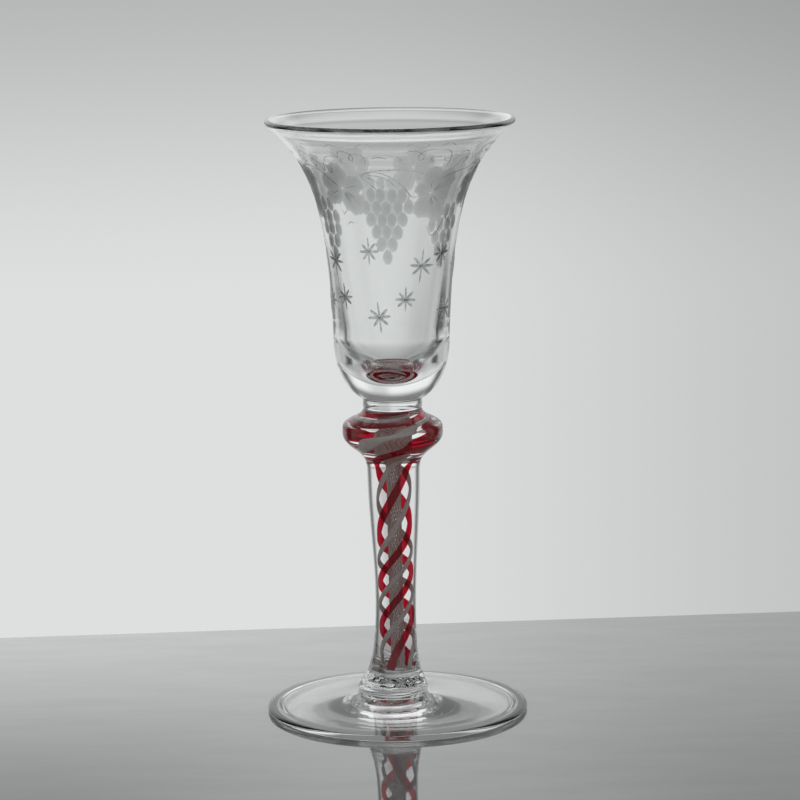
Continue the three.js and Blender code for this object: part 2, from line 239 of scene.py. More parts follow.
def stitched(low, low_count, high, high_count):
    """Faces between two rings of points: four corners each, or three triangles a side where one ring has
    twice the points of the other."""
    sides = min(low_count, high_count)
    here = np.arange(sides)
    after = (here + 1) % sides
    if low_count == high_count:
        return np.stack([low + here, low + after, high + after, high + here], -1).tolist()
    fine, coarse = (high, low) if high_count > low_count else (low, high)
    left, middle, right = fine + 2 * here, fine + 2 * here + 1, fine + (2 * here + 2) % (2 * sides)
    near, far = coarse + here, coarse + after
    if high_count > low_count:
        triangles = [(near, far, middle), (near, middle, left), (far, right, middle)]
    else:
        triangles = [(left, middle, near), (middle, far, near), (middle, right, far)]
    return np.concatenate([np.stack(corners, -1) for corners in triangles]).tolist()


def turned(profile, sides, shape, fine=(0, 0)):
    """A closed body of turning. profile is an array of (radius, height) from the axis, up the outside and
    back to the axis. A point of ring k at angle a is (r cos a, r sin a, z), where shape(a, r, z, k) changes r
    and z. The rings from fine[0] up to fine[1] have twice the sides. Gives points, faces and the number of
    wall faces, which come before the fan at the start of the profile and the fan at its end."""
    radius, height = profile[1:-1].T
    rings = np.arange(len(radius))
    counts = np.where((rings >= fine[0]) & (rings < fine[1]), 2 * sides, sides)
    starts = np.concatenate([[0], np.cumsum(counts)])
    ring = np.repeat(rings, counts)
    angle = (np.arange(starts[-1]) - starts[ring]) * (2 * math.pi / counts[ring])
    across, up = shape(angle, radius[ring], height[ring], ring)
    points = polar(across, angle, up)
    faces = []
    for k in rings[:-1]:
        faces += stitched(starts[k], counts[k], starts[k + 1], counts[k + 1])
    wall = len(faces)
    around = np.arange(sides)
    after = (around + 1) % sides
    first, last, final = len(points), len(points) + 1, starts[-2]
    faces += np.stack([np.full(sides, first), after, around], -1).tolist()
    faces += np.stack([np.full(sides, last), final + around, final + after], -1).tolist()
    poles = np.array([[0, 0, profile[0][1]], [0, 0, profile[-1][1]]])
    return np.concatenate([points, poles]), faces, wall


def swept(rings):
    """A closed body through rings of points, of shape (rings, corners, 3), with a fan at each end."""
    count, corners, _ = rings.shape
    around = np.arange(corners)
    after = (around + 1) % corners
    start = np.arange(count - 1)[:, None] * corners
    walls = [start + around, start + after, start + corners + after, start + corners + around]
    first, last, final = count * corners, count * corners + 1, (count - 1) * corners
    bottom = np.stack([np.full(corners, first), after, around], -1)
    top = np.stack([np.full(corners, last), final + around, final + after], -1)
    vertices = np.concatenate([rings.reshape(-1, 3), rings[:1].mean(1), rings[-1:].mean(1)])
    return vertices, np.stack(walls, -1).reshape(-1, 4).tolist() + bottom.tolist() + top.tolist()


def joined(bodies):
    """The points and faces of several closed bodies as one mesh's."""
    points, faces, offset = [], [], 0
    for vertices, body_faces in bodies:
        points.append(vertices)
        faces += [[i + offset for i in face] for face in body_faces]
        offset += len(vertices)
    return np.concatenate(points), faces


# Marks of the hand


def ripple(seed, angle, z, waves, height):
    """Slow waves: a sum of cosines round the axis and along it."""
    random = np.random.default_rng(seed)
    total = 0
    for _ in range(waves):
        around = random.integers(1, 7)
        along = random.uniform(40, 240)
        phase = random.uniform(0, 2 * math.pi, 2)
        total = total + np.cos(around * angle + phase[0]) * np.cos(along * z + phase[1])
    return total * height / math.sqrt(waves)


# Marks of the tools round the stem's foot, in mm: height over the table, depth and half height of each.
TOOL_MARKS = (
    (12.9, 0.1, 0.22), (12, 0.16, 0.2), (10.9, 0.06, 0.3),
    (9, 0.07, 0.3), (7.7, 0.12, 0.22), (6.9, 0.12, 0.2),
)
# Waves that make up the small dents over them, and the depth of each in mm.
DENTS, DENT_DEPTH = 9, 0.022


def tooled(angle, height):
    """Depth of the uneven rings that the tools pressed in round the stem's foot: a bell curve of the height
    for each ring, tilted and waved round the axis, and a patch of small dents over them."""
    random = np.random.default_rng(14)
    depth = 0
    for level, deep, half in TOOL_MARKS:
        phase = random.uniform(0, 2 * math.pi, 3)
        middle = level + 0.3 * np.sin(angle + phase[0]) + 0.12 * np.sin(3 * angle + phase[1])
        strength = deep * (0.65 + 0.35 * np.sin(2 * angle + phase[2]))
        depth = depth + strength * np.exp(-(((height / MM - middle) / half) ** 2))
    dents = 0
    for _ in range(DENTS):
        around, along = random.integers(5, 15), random.uniform(0.8, 2.4)
        phase = random.uniform(0, 2 * math.pi, 2)
        dents = dents + np.cos(around * angle + phase[0]) * np.cos(along * height / MM + phase[1])
    patch = smoothstep(height, 6 * MM, 9 * MM) * smoothstep(height, 18 * MM, 14 * MM)
    return (depth + DENT_DEPTH * dents * patch) * MM


def joint_groove(height):
    """Depth of the groove where stem and bowl are joined: a bell curve of the height."""
    deep, half = 0.16 * MM, 0.7 * MM
    return deep * np.exp(-(((height - JOINT_BOWL) / half) ** 2))


# Materials


def plug(node, values):
    """Fills a node's inputs, by name or by number: a socket is linked, and any other value is set."""
    for place, value in values.items():
        if isinstance(value, bpy.types.NodeSocket):
            node.id_data.links.new(value, node.inputs[place])
        else:
            node.inputs[place].default_value = value


def principled(name):
    """A new material with its node tree and its Principled shader."""
    material = bpy.data.materials.new(name)
    material.use_nodes = True
    return material, material.node_tree, material.node_tree.nodes["Principled BSDF"]


def added(tree, kind, inputs, **settings):
    """A new node with its settings and its inputs."""
    node = tree.nodes.new(kind)
    for name, setting in settings.items():
        setattr(node, name, setting)
    plug(node, inputs)
    return node


def coordinates(tree, kind):
    """The x, y and z of the Generated or the Object coordinates."""
    place = tree.nodes.new("ShaderNodeTexCoord").outputs[kind]
    return added(tree, "ShaderNodeSeparateXYZ", {"Vector": place}).outputs


def object_noise(tree, scale, detail=2, stretch=(1, 1, 1)):
    """The value of a noise texture on object coordinates."""
    place = tree.nodes.new("ShaderNodeTexCoord").outputs["Object"]
    mapping = added(tree, "ShaderNodeMapping", {"Vector": place, "Scale": stretch})
    inputs = {"Vector": mapping.outputs["Vector"], "Scale": scale, "Detail": detail}
    return added(tree, "ShaderNodeTexNoise", inputs).outputs["Fac"]


def computed(operation, *values):
    """A Math node's result. The values are plain numbers and at least one socket."""
    tree = next(value.id_data for value in values if isinstance(value, bpy.types.NodeSocket))
    return added(tree, "ShaderNodeMath", dict(enumerate(values)), operation=operation).outputs[0]


def plus(a, b):
    """a + b"""
    return computed("ADD", a, b)


def less(a, b):
    """a - b"""
    return computed("SUBTRACT", a, b)


def times(a, b):
    """a * b"""
    return computed("MULTIPLY", a, b)


def between(share, low, high):
    """The value at a share of the way from low to high."""
    return plus(low, times(share, less(high, low)))


def stepped(value, low, high, start=0, end=1, kind="SMOOTHSTEP"):
    """A step of a socket's value, smooth or LINEAR, from start at low to end at high."""
    inputs = {"Value": value, "From Min": low, "From Max": high, "To Min": start, "To Max": end}
    return added(value.id_data, "ShaderNodeMapRange", inputs, interpolation_type=kind).outputs["Result"]


def hump(value, rise, fall, height=1):
    """A socket's value stepped up to a height over the range rise, and down again over the range fall."""
    return times(stepped(value, *rise, 0, height), stepped(value, *fall, 1, 0))


def painted_edge_shade(tree, low, high, end=1):
    """A step from 0 where the surface faces the eye to end where it is seen edge-on, used to paint shade into
    a colour.
    """
    facing = tree.nodes.new("ShaderNodeLayerWeight").outputs["Facing"]
    return stepped(facing, low, high, 0, end)


def blended(factor, low, high):
    """Two colours, sockets or tuples, mixed by a socket's value."""
    low, high = [(*colour, 1) if isinstance(colour, tuple) else colour for colour in (low, high)]
    inputs = {"Factor": factor, "A": low, "B": high}
    return added(factor.id_data, "ShaderNodeMix", inputs, data_type="RGBA").outputs["Result"]


def glass_waves():
    """A node group with the normal of hand-made glass: faint slow waves in its surface."""
    group = bpy.data.node_groups.new("glass_waves", "ShaderNodeTree")
    group.interface.new_socket("Normal", in_out="OUTPUT", socket_type="NodeSocketVector")
    waves = object_noise(group, 90, 1, (1, 1, 2.2))
    bump = added(group, "ShaderNodeBump", {"Height": waves, "Strength": 0.06, "Distance": 0.4 * MM})
    added(group, "NodeGroupOutput", {"Normal": bump.outputs["Normal"]})
    return group


def waved(tree):
    """Adds the shared glass waves to a material's nodes and gives their normal."""
    group = bpy.data.node_groups.get("glass_waves") or glass_waves()
    return added(tree, "ShaderNodeGroup", {}, node_tree=group).outputs["Normal"]


def streaked(tree, colour, darkest, scale, stretch):
    """A colour that noise darkens in streaks along the stem, down to the share darkest of each channel."""
    noise = object_noise(tree, scale, 3, (1, 1, stretch))
    dark = tuple(channel * share for channel, share in zip(colour, darkest))
    return blended(noise, dark, tuple(colour))


def crystal_material():
    """Clear lead crystal, with faint waves in its surface."""
    material, tree, shader = principled("clear_crystal")
    plug(shader, {"Base Color": (*CRYSTAL_TINT, 1), "Roughness": 0, "Normal": waved(tree)})
    plug(shader, {"IOR": CRYSTAL_IOR, "Transmission Weight": 1})
    return material


def engraved_material():
    """The same crystal, matt where the mesh's "ground" values say that it is cut, with painted shade that
    darkens the cut glass where it is seen edge-on."""
    material, tree, shader = principled("engraved_crystal")
    frost = tuple(bpy.context.scene.glass_colours.frost)
    cut = added(tree, "ShaderNodeAttribute", {}, attribute_name="ground").outputs["Fac"]
    rough = times(cut, stepped(object_noise(tree, 2600), 0.2, 0.8, 0.4, 0.55))
    # Painted shade: the cut glass's colour falls to a third of the frost colour where it is seen edge-on.
    matt = blended(painted_edge_shade(tree, 0.22, 0.62), frost, tuple(0.33 * value for value in frost))
    tone = blended(cut, CRYSTAL_TINT, matt)
    plug(shader, {"Base Color": tone, "Roughness": rough, "Normal": waved(tree)})
    plug(shader, {"IOR": CRYSTAL_IOR, "Transmission Weight": 1})
    return material


def cut_material():
    """Narrow cuts of the wheel, grainy and nearly clear, with painted shade that turns them nearly black
    where seen edge-on.
    """
    material, tree, shader = principled("wheel_cut")
    grain = stepped(object_noise(tree, 900), 0.3, 0.7)
    tone = blended(grain, (0.56, 0.57, 0.565), (0.85, 0.86, 0.855))
    # Painted shade: the cuts' colour goes nearly black where they are seen edge-on.
    tone = blended(painted_edge_shade(tree, 0.35, 0.8, 0.75), tone, (0.05, 0.05, 0.05))
    plug(shader, {"Base Color": tone, "Roughness": 0.25, "IOR": 1.5, "Transmission Weight": 1})
    return material


def joint_material():
    """The joint faces of the clear pieces, which are fused, so nothing shows there."""
    material, tree, _ = principled("fused_joint")
    tree.nodes.clear()
    clear = tree.nodes.new("ShaderNodeBsdfTransparent").outputs["BSDF"]
    added(tree, "ShaderNodeOutputMaterial", {"Surface": clear})
    return material


def ruby_material():
    """Red glass sealed in clear glass of the same index, so it tints what is behind it but bends nothing."""
    material, tree, shader = principled("ruby_glass")
    tone = streaked(tree, bpy.context.scene.glass_colours.ruby, (0.75, 0.5, 0.8), 500, 0.25)
    plug(shader, {"Base Color": tone, "Roughness": 0, "IOR": 1, "Transmission Weight": 0.7})
    return material


def enamel_material():
    """Opaque white glass, faintly streaked along the stem."""
    material, tree, shader = principled("white_enamel")
    tone = streaked(tree, bpy.context.scene.glass_colours.enamel, (0.82, 0.8, 0.78), 700, 0.15)
    plug(shader, {"Base Color": tone, "Roughness": 0.6, "IOR": 1.05})
    return material


# Pieces


# Sides of the foot and the stem.
CLEAR_SIDES = 192


class BuildFoot(bpy.types.Operator):
    """Turns the conical foot with its hollow underside, rounded edge and boss"""

    bl_idname = "wine_glass.foot"
    bl_label = "Foot"

    def execute(self, context):
        sizes = context.scene.glass_sizes
        edge = sizes.foot_edge / 2
        edge_centre = FOOT_RADIUS - edge
        ring_width, ring_rise = 1.7 * MM, 1.1 * MM
        boss_width, cone_end, marks_end = 9.6 * MM, 9.7 * MM, 9.9 * MM
        # The pontil scar and the hollow, which falls by a power of 1.5 and turns down into the resting ring.
        scar = np.array([[0, 2.05], [1.5, 2], [3.2, 2.02], [4, 2.2], [4.5, 2.3]]) * MM
        outward = np.linspace(0, 1, 70)[1:]
        under = mix(sizes.foot_hollow, ring_rise, outward**1.5) * smoothstep(1 - outward, 0, 0.08)
        hollow = np.stack([mix(scar[-1, 0], edge_centre - ring_width, outward), under], -1)
        arc = np.linspace(-math.pi / 2, math.pi / 2, 24)
        rim = np.stack([edge_centre + edge * np.cos(arc), edge + edge * np.sin(arc)], -1)
        # The cone climbs by 0.6 t + 0.4 t^2.5, and the boss bulges by a sine and draws in by a power of 1.3.
        boss_foot = sizes.foot_edge + 3.1 * MM
        share = np.linspace(0, 1, 60)[1:-1]
        climb = mix(sizes.foot_edge, boss_foot, 0.6 * share + 0.4 * share**2.5)
        cone = np.stack([mix(edge_centre, cone_end, share), climb], -1)
        lift = np.linspace(0, 1, 90)
        tuck = np.clip((lift - 0.3) / 0.7, 0, 1) ** 1.3
        bulge = 0.25 * MM * np.sin(math.pi * np.minimum(lift / 0.5, 1))
        boss_radius = mix(boss_width, stem_radius(JOINT_FOOT), tuck) + bulge
        boss = np.stack([boss_radius, mix(boss_foot, JOINT_FOOT, lift)], -1)
        profile = np.concatenate([scar, hollow, rim, cone, boss, [[0, JOINT_FOOT]]])

        def wobble(angle, radius, height, ring):
            top = smoothstep(height, 1.3 * MM, 2.2 * MM)
            inner = (radius < marks_end) * smoothstep(height, boss_foot, boss_foot + 0.5 * MM)
            free = smoothstep(FOOT_RADIUS - radius, 0, 3 * MM)
            waves = ripple(11, angle, radius, 7, 0.05 * MM) * top * free
            return radius - inner * tooled(angle, height), height + waves

        vertices, faces, wall = turned(profile, CLEAR_SIDES, wobble)
        joint = range(wall + CLEAR_SIDES, len(faces))
        piece = add_piece("clear_foot", leaned(off_centre(vertices)), faces, joints=joint)
        dress(piece, [crystal_material(), joint_material()], ["foot"])
        return {"FINISHED"}


class BuildStem(bpy.types.Operator):
    """Turns the clear glass of the stem with its shoulder knop"""

    bl_idname = "wine_glass.stem"
    bl_label = "Clear stem"

    def execute(self, context):
        marks_end, knop_start = JOINT_FOOT + 6 * MM, knop_height() - 11 * MM
        height = np.concatenate([
            np.linspace(JOINT_FOOT, marks_end, 60)[:-1],
            np.linspace(marks_end, knop_start, 100),
            np.linspace(knop_start, JOINT_BOWL, 160)[1:],
        ])
        outside = np.stack([stem_radius(height), height], -1)
        profile = np.concatenate([[[0, JOINT_FOOT]], outside, [[0, JOINT_BOWL]]])

        def wobble(angle, radius, height, ring):
            inside = smoothstep(height - JOINT_FOOT, 0, 3 * MM) * smoothstep(JOINT_BOWL - height, 0, 2 * MM)
            waves = ripple(5, angle, height, 8, 0.04 * MM) * inside
            return radius + waves - joint_groove(height) - tooled(angle, height), height

        vertices, faces, wall = turned(profile, CLEAR_SIDES, wobble)
        joints = range(wall, len(faces))
        piece = add_piece("clear_stem", leaned(off_centre(vertices)), faces, joints=joints)
        made, nodes = bpy.data.materials, ["stem_casing", "stem_core", "centre_rod"]
        dress(piece, [made["clear_crystal"], made["fused_joint"]], nodes)
        return {"FINISHED"}


class BuildTapes(bpy.types.Operator):
    """Sweeps the two red and two white tapes of the twist"""

    bl_idname = "wine_glass.tapes"
    bl_label = "Twisted tapes"

    def execute(self, context):
        # Colour, width, thickness, the spreads of tape_half_angle, material and record slot.
        kinds = (
            ("red", 2.1 * MM, 0.85 * MM, (1.1, 1.95, 1.65), ruby_material(), "red_glass"),
            ("white", 1.5 * MM, 0.5 * MM, (1.45, 1.45, 1.2), enamel_material(), "white_glass"),
        )
        height = np.linspace(JOINT_FOOT + 0.35 * MM, JOINT_BOWL - 0.1 * MM, 520)[:, None]
        corner = np.linspace(0, 2 * math.pi, 20, endpoint=False)

        def squared(wave):
            """A wave to the power of 0.7, which takes an ellipse part of the way to a rectangle."""
            return np.sign(wave) * np.abs(wave) ** 0.7

        across, through = squared(np.cos(corner)), squared(np.sin(corner))
        thicker = mix(1, 1.3, swelling(height, *TWIST_REACH))
        for quarter in range(4):
            colour, width, plain, spreads, material, slot = kinds[quarter % 2]
            half = tape_half_angle(height, width / (TWIST_STEM_RADIUS - plain / 2) / 2, *spreads)
            angle = twist_angle(height) - quarter * math.pi / 2 + half * across
            thickness = plain * thicker
            radius = twist_radius(height) - thickness / 2 + through * thickness / 2
            vertices, faces = swept(polar(radius, angle, height))
            number = quarter // 2 + 1
            piece = add_piece(f"{colour}_tape_glass_{number}", leaned(vertices), faces)
            dress(piece, [material], [f"{colour}_tape_{number}"])
        return {"FINISHED"}


class BuildGauze(bpy.types.Operator):
    """Sweeps the fine white threads of the gauze column"""

    bl_idname = "wine_glass.gauze"
    bl_label = "Gauze column"

    def execute(self, context):
        thread, inset, pairs = 0.165 * MM, 0.1 * MM, 8
        height = np.linspace(JOINT_FOOT + 0.3 * MM, JOINT_BOWL - 0.1 * MM, 360)[:, None]
        corner = np.linspace(0, 2 * math.pi, 8, endpoint=False)
        column = gauze_radius(height)
        scale = (column / GAUZE_RADIUS) ** 1.5 * thread
        for number in range(pairs):
            bodies = []
            for strand in range(2):
                ring = column - thread - strand * inset
                centre = twist_angle(height) + (number + strand * 0.5) * 2 * math.pi / pairs
                angle = centre + scale * np.sin(corner) / ring
                bodies.append(swept(polar(ring + scale * np.cos(corner), angle, height)))
            vertices, faces = joined(bodies)
            piece = add_piece(f"gauze_pair_{number + 1}", leaned(vertices), faces)
            dress(piece, [bpy.data.materials["white_enamel"]], [f"gauze_thread_{number + 1}"])
        return {"FINISHED"}


# The bowl's shape and engraving

# Radius of the round lip, and height of the bell's start over the bowl's joint.
LIP = 0.88 * MM
BELL_START = 20.3 * MM


def bell_span():
    """Height where the bell's flare starts, and how high it is up to the round lip."""
    start = JOINT_BOWL + BELL_START
    return start, RIM_TOP - LIP * (1 + math.sqrt(0.5)) - start


def bowl_outside(share):
    """Radius and height of the bell at a share t of its height, with 0.11 t + 0.43 t^2.4 + 0.46 t^6.3 of its
    widening."""
    body = bpy.context.scene.glass_sizes.body_radius
    start, rise = bell_span()
    reach = RIM_RADIUS - LIP * (1 - math.sqrt(0.5)) - body
    widening = 0.11 * share + 0.43 * share**2.4 + 0.46 * share**6.3
    return body + reach * widening, start + rise * share


def bowl_normal(share):
    """Unit normal of the bell's profile, from the slope of its widening."""
    step = 1e-4
    low, high = bowl_outside(np.maximum(share - step, 0)), bowl_outside(np.minimum(share + step, 1))
    across, up = high[0] - low[0], high[1] - low[1]
    length = np.hypot(across, up)
    return up / length, -across / length


def bowl_wall(share, round_share):
    """Wall of the bell: even above 0.65 of its height, thicker below by a power of 1.8 and at the lip."""
    plain, bottom, lip, even_from = 1.4 * MM, 3.6 * MM, 1.76 * MM, 0.65
    thicker = np.maximum(0, (even_from - share) / (even_from - round_share)) ** 1.8
    return mix(mix(plain, bottom, thicker), lip, smoothstep(share, 0.94, 1))


def bowl_waves(angle, height):
    """How far the bowl's surface stands out: slow waves, and fine rings 2.3 mm apart at the rim."""
    free = smoothstep(height - JOINT_BOWL, 0, 3 * MM)
    rings = 0.012 * MM * np.sin(height / (2.3 * MM) * 2 * math.pi + 0.8 * np.sin(angle))
    near_rim = smoothstep(height, 149 * MM, 159 * MM) * smoothstep(RIM_TOP - height, 1 * MM, 3 * MM)
    return ripple(3, angle, height, 8, 0.03 * MM) * free + rings * near_rim


# Heights between which the leaves and grapes are cut, and how deep.
ENGRAVED_BAND = np.array([129.1, 160.3]) * MM
CUT_DEPTH = 0.1 * MM
# A leaf's lobes, as (direction, length in mm).
LEFT_LEAF = ((98, 7.4), (158, 7.2), (212, 7), (304, 8.4), (18, 6.6))
RIGHT_LEAF = ((92, 7.6), (38, 9.2), (-14, 6.6), (-62, 9), (-112, 7.2), (158, 5))
# Leaves of the vine: degrees round from the front, height in mm, lobes, and directions of the scratches.
LEAVES = (
    (-35, 151.4, LEFT_LEAF, (-72, -62, -52, -38, 12, 150, 205)),
    (29.6, 149.9, RIGHT_LEAF, (28, 36, 44, 92, -40, -64, -74)),
    (76, 150.4, LEFT_LEAF, (30, -60)), (-79, 150.4, RIGHT_LEAF, (150, -50)),
    (119, 150.4, RIGHT_LEAF, (40, -60)), (-114, 150.9, LEFT_LEAF, (95, -60)),
    (163, 152.9, LEFT_LEAF, ()), (-154, 153.4, RIGHT_LEAF, ()),
)
# Bunches of grapes: degrees round, height of the top row in mm, and grapes in each row.
BUNCHES = (
    (-2.6, 149.5, (4, 5, 4, 3, 2, 1)), (49, 144.2, (3, 4, 3, 2, 1)), (-56, 146.5, (2, 3, 3, 2, 1)),
    (97, 146.9, (3, 4, 3, 2, 1)), (-96, 146.9, (3, 4, 3, 2, 1)), (184, 148.4, (4, 5, 4, 3, 2, 1)),
)
# Half width and half height of a grape in mm, and the steps along a row and from row to row.
GRAPE_WIDE, GRAPE_HIGH, GRAPE_GAP, ROW_GAP = 1.4, 2.15, 2.95, 3.45
# Vine stems and tendrils: each a path of (degrees round, height in mm).
VINES = (
    ((-19.7, 155.5), (-10, 156.6), (2, 156.9), (14, 156.6), (25, 155.1)),
    ((-19.7, 155.5), (-9, 156.2), (0, 154.9), (9, 152.1), (16, 149.1), (24, 149.5)),
    ((-19.7, 155.3), (-10, 155.3), (-1, 153.8), (7, 150.5)),
    ((-19.5, 155.1), (-12, 154.2), (-4, 151.7)),
    ((-19.4, 154.9), (-14, 153.1), (-8.1, 150.7)),
    ((-72, 156.3), (-62, 157.5), (-52, 156.5), (-44, 154.1), (-37, 151.7)),
    ((37, 153.9), (47, 155.5), (56, 156.1), (66, 157.5), (76, 154.9)),
    ((-104, 156.4), (-94, 157.1), (-84, 154.4), (-79, 150.9)),
    ((84, 151.9), (94, 156.5), (106, 156.9), (117, 151.9)),
    ((124, 151.9), (133, 154.9), (144, 156.3), (154, 154.9), (161, 152.9)),
    ((169, 153.9), (178, 156.7), (190, 157.1), (199, 155.9), (205, 153.9)),
    ((-150, 153.9), (-141, 156.4), (-130, 156.5), (-119, 151.9)),
)
TENDRILS = (
    ((-35.3, 162.2), (-32.6, 161.5), (-30.3, 160.6), (-29.4, 161.9), (-26.5, 162.2), (-23.5, 161.7),
     (-21.2, 160.5), (-22.4, 159.5), (-23.8, 160.3), (-21.8, 161.4), (-18.6, 161.5), (-15.6, 160.9),
     (-14.4, 159.5), (-15.4, 158.5)),
    ((-10.9, 160.2), (-6.5, 160.6), (-1.9, 160.2)),
    ((-66, 159.5), (-60, 161.5), (-55, 160.5), (-50, 159.1), (-43, 158.1)),
    ((-63, 160.5), (-60.5, 158.5), (-57.5, 159.3), (-58.5, 160.9)),
    ((-54.5, 160.1), (-52, 157.5), (-49.5, 158.3), (-51, 159.9)),
    ((-47.5, 158.8), (-45.8, 156.3), (-43.8, 157.5), (-45, 159.1)),
    ((-42.5, 158.3), (-40, 155.7), (-38.2, 157.7)),
    ((7, 161.5), (11, 162.3), (16, 161.9), (19.5, 160.5), (17.8, 159.5), (16.2, 160.7), (18.8, 162.1),
     (23, 162.5), (28.5, 162.3)),
    ((28.5, 162.3), (34.7, 161.9), (37.4, 159.9), (36.2, 156.5)),
    ((39.5, 158.5), (44.5, 161.1), (49.5, 161.3), (52, 159.3), (49, 158.5)),
    ((43, 156.5), (47.5, 159.1), (51.9, 159.3), (49.5, 157.7)),
    ((56, 156.3), (58, 159.3), (64, 161.9), (69, 162.7), (71.5, 160.5)),
    ((58.5, 157.9), (63, 160.5), (67.5, 159.9), (64.5, 158.1), (60.5, 159.3)),
    ((69, 161.3), (73, 159.1), (70.5, 157.5), (67.6, 158.9)),
    ((30, 140.7), (34, 138.3), (39, 137.9), (44, 140.1), (49, 143.5)),
    ((50.5, 146.5), (54, 144.3), (52.6, 141.3), (49.6, 142.5), (50.8, 145.5)),
    ((-60, 139.9), (-63, 137.5), (-60.5, 135.3), (-57.6, 136.9)),
    ((-36, 141.1), (-33, 141.9), (-30, 141.5)),
    ((-170, 159.7), (-164, 161.5), (-158, 160.3), (-161, 158.7), (-165, 159.9)),
    ((-148, 159.5), (-141, 161.3), (-134, 159.9)),
    ((170, 160.3), (163, 162.1), (156, 160.9), (159, 159.3), (163, 160.5)),
    ((148, 159.9), (141, 161.5), (134, 159.9)), ((104, 159.3), (111, 161.3), (118, 159.9), (115, 158.5)),
    ((-122, 159.9), (-115, 161.5), (-108, 159.9), (-111, 158.5)),
    ((140, 146.9), (145, 143.4), (141, 140.4), (137, 142.9), (141, 145.9)),
    ((-134, 146.9), (-139, 143.4), (-135, 140.4), (-131, 142.9)),
    ((-100, 159.1), (-92, 161.3), (-85, 159.9)), ((84, 159.7), (91, 161.3), (98, 159.7)),
)
# Stars: degrees round, height, and half height in mm.
STARS = (
    (-58, 130.4, 4.2), (28.9, 129.4, 4.3), (51.4, 132.3, 3.6), (-48.3, 120.4, 3.4), (13.9, 120.2, 3.3),
    (-10.9, 115.3, 3.8), (62.5, 116.4, 4.2), (-157.4, 128.7, 3.8), (-91, 117.9, 3.6), (92, 127.9, 3.6),
    (-100, 129.9, 3.6),
)
# Rays of a star, from the level one round: length as a share of the star's half height, half width in mm.
RAYS = ((0.88, 0.42), (0.86, 0.42), (1.1, 0.27), (0.86, 0.42))


def engraved(angle, radius, height):
    """Depth of the wheel-cut leaves and grapes, 0 to 1. With q = 1 at the edge of an ellipse, a leaf is the
    deepest of 1 - q^1.5 for its lobes, each with a toothed edge and a vein exp(-(d/0.22 mm)^2) left along its
    middle, and a bunch the deepest of 0.8 (1 - q) for its grapes. The angle is from the front, positive to
    the right."""
    random = np.random.default_rng(21)
    depth = np.zeros(np.shape(angle))
    low, high = ENGRAVED_BAND
    near = np.flatnonzero((height > low - 0.2 * MM) & (height < high))
    turn, out, up = angle[near], radius[near], height[near]

    def across_from(degrees):
        """Way round the bowl from the given degrees."""
        away = turn - math.radians(degrees)
        return ((away + math.pi) % (2 * math.pi) - math.pi) * out

    cut = np.zeros(len(near))
    for degrees, level, lobes, _ in LEAVES:
        across, rise = across_from(degrees), up - level * MM
        for direction, length in lobes:
            aim = math.radians(direction)
            along = across * math.cos(aim) + rise * math.sin(aim)
            aside = rise * math.cos(aim) - across * math.sin(aim)
            # A lobe's ellipse is 0.53 of its length long and 0.4 wide either way, with teeth round its tip.
            ahead, beside = (along / MM - 0.5 * length) / (0.53 * length), aside / (0.4 * length * MM)
            teeth = 1 + 0.13 * np.cos(9 * np.arctan2(beside, ahead)) * smoothstep(ahead, -0.6, 0.2)
            q = (ahead**2 + beside**2) / teeth
            vein = 0.35 * np.exp(-((aside / (0.22 * MM)) ** 2)) * (q < 1)
            cut = np.maximum(cut, 1 - q**1.5 - vein)
    for degrees, level, rows in BUNCHES:
        across, rise = across_from(degrees) / MM, (up - level * MM) / MM
        for row, count in enumerate(rows):
            for place in range(count):
                slip = random.normal(0, 0.12, 2)
                middle = GRAPE_GAP * (place - (count - 1) / 2) + slip[0], slip[1] - ROW_GAP * row
                q = ((across - middle[0]) / GRAPE_WIDE) ** 2 + ((rise - middle[1]) / GRAPE_HIGH) ** 2
                cut = np.maximum(cut, 0.8 * (1 - q))
    depth[near] = cut
    return depth


def on_bowl(degrees, height, lift):
    """Points on the bell's outside, at degrees from the front and heights in mm, moved out by a lift."""
    start, rise = bell_span()
    share = (np.asarray(height) * MM - start) / rise
    radius, level = bowl_outside(share)
    across, up = bowl_normal(share)
    turn = np.radians(degrees) - math.pi / 2
    return polar(radius + bowl_waves(turn, level) + lift * across, turn, level + lift * up)


def eased(path, steps):
    """A smooth path through the given points: Catmull-Rom, with the ends repeated."""
    path = np.array(path, float)
    points = np.concatenate([path[:1], path, path[-1:]])
    place = np.linspace(0, len(path) - 1, steps)
    k = np.minimum(place.astype(int), len(path) - 2)
    t = (place - k)[:, None]
    a, b, c, d = points[k], points[k + 1], points[k + 2], points[k + 3]
    return 0.5 * (2 * b + (c - a) * t + (2 * a - 5 * b + 4 * c - d) * t**2 + (3 * b - a - 3 * c + d) * t**3)


def scored(path, half_width, steps):
    """A thin closed ridge of four corners along a path on the bell, as wide as the share sin(pi t)^0.5 of its
    middle at each share t of its length."""
    path = eased(path, steps)
    centre = on_bowl(path[:, 0], path[:, 1], 0.02 * MM)
    outward = on_bowl(path[:, 0], path[:, 1], 1.02 * MM) - centre
    outward /= np.linalg.norm(outward, axis=1, keepdims=True)
    forward = np.gradient(centre, axis=0)
    aside = np.cross(outward, forward)
    aside /= np.linalg.norm(aside, axis=1, keepdims=True)
    share = np.linspace(0, 1, steps)
    width = half_width * np.sqrt(np.clip(np.sin(math.pi * share), 0.02, 1))[:, None]
    top = centre + outward * (0.03 * MM + 0.2 * width)
    under = centre - outward * 0.012 * MM
    return swept(np.stack([centre + aside * width, top, centre - aside * width, under], 1))


